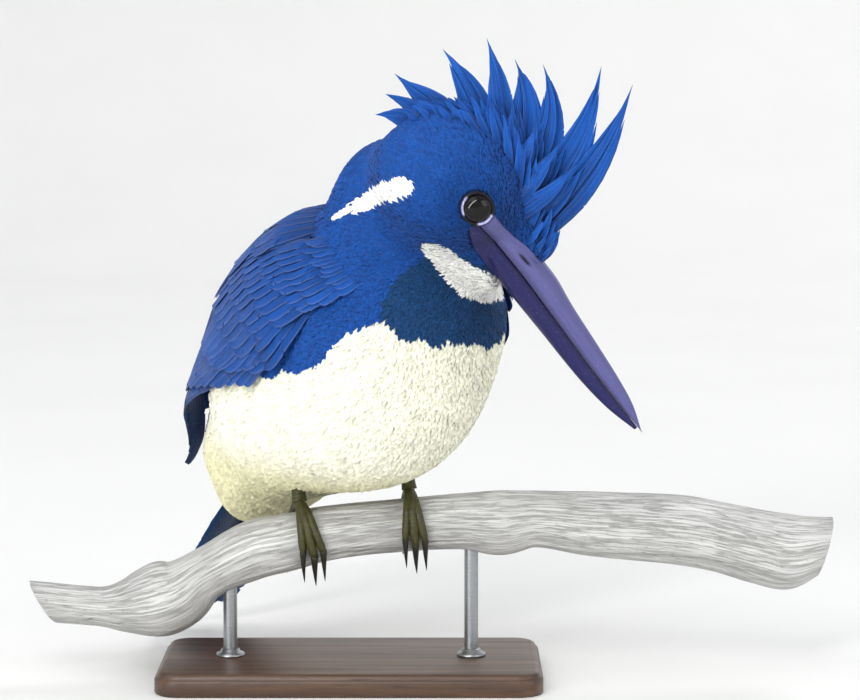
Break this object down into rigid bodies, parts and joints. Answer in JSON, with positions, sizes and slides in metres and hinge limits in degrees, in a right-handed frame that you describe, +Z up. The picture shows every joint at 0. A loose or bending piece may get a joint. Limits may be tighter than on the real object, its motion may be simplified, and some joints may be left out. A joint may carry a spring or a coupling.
{
  "type": "belted kingfisher model on a branch",
  "caption": "Life-size kingfisher with a raised shaggy crest and a long dagger bill, leaning forward on a cut branch held by a plain stand.",
  "frame": {"origin": "centre of the underside of the stand's base", "axes": "+Z up; +X along the branch, the way the bill points; the bird's far side is towards +Y"},
  "size_m": [0.2519, 0.1564, 0.2014],
  "materials": {
    "breast_plumage": "soft matte feathers, cream below with blue sides and back",
    "head_plumage": "soft matte feathers with a slight silky sheen, blue with white throat and a dark breast band",
    "wing_feathers": "stiff vanes with a faint barb texture and silky sheen",
    "tail_feathers": "stiff vanes with a faint barb texture and silky sheen",
    "bill_upper": "smooth horn, satin",
    "bill_lower": "smooth horn, satin",
    "eye": "polished, wet-looking",
    "leg_skin": "finely scaled skin, dull",
    "claw": "smooth dark horn",
    "perch_wood": "bare weathered wood with fine grain and small knots",
    "base_wood": "dark oiled wood with eased edges",
    "rod_steel": "satin steel rod"
  },
  "bodies": {
    "root": {"bill_lower": "bill_lower", "bill_upper": "bill_upper", "claw_left_hind": "claw", "claw_left_inner": "claw", "claw_left_middle": "claw", "claw_left_outer": "claw", "claw_right_hind": "claw", "claw_right_inner": "claw", "claw_right_middle": "claw", "claw_right_outer": "claw", "eye_left": "eye", "eye_right": "eye", "foot_left": "leg_skin", "foot_right": "leg_skin", "head": "head_plumage", "leg_left": "leg_skin", "leg_right": "leg_skin", "neck": "head_plumage", "perch": "perch_wood", "stand_base": "base_wood", "stand_rod_left": "rod_steel", "stand_rod_right": "rod_steel", "tail": "tail_feathers", "torso": "breast_plumage", "wing_left": "wing_feathers", "wing_right": "wing_feathers"}
  },
  "joints": []
}
